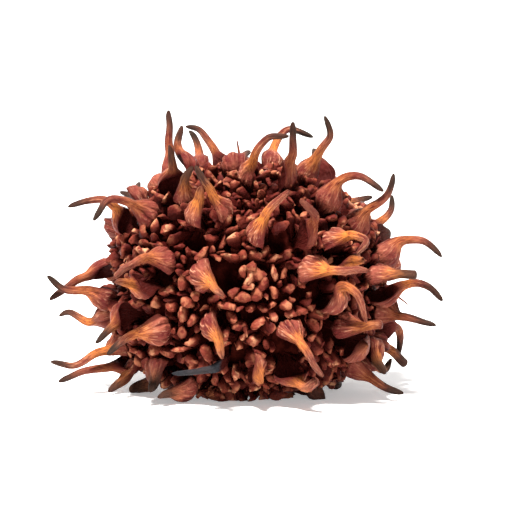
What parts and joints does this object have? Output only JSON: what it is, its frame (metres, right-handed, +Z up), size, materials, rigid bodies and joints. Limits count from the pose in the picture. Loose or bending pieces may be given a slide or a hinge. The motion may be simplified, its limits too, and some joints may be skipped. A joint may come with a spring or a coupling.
{
  "type": "sweetgum seed ball",
  "caption": "Dry, opened seed ball of a sweetgum tree: a round woody head of beaked capsules with knobs between them, which rests on its worn underside.",
  "frame": {"origin": "on the ground, at the middle of the flat underside, which is the worn scar of the stalk", "axes": "+X to the viewer's right, +Y away from the viewer, +Z up"},
  "size_m": [0.039, 0.036, 0.0278],
  "materials": {
    "dry_wood": "dry weathered red-brown wood, paler on the ridges and nearly black at the tips of the beaks and in the openings"
  },
  "bodies": {
    "root": {"seed_ball": "dry_wood"}
  },
  "joints": []
}
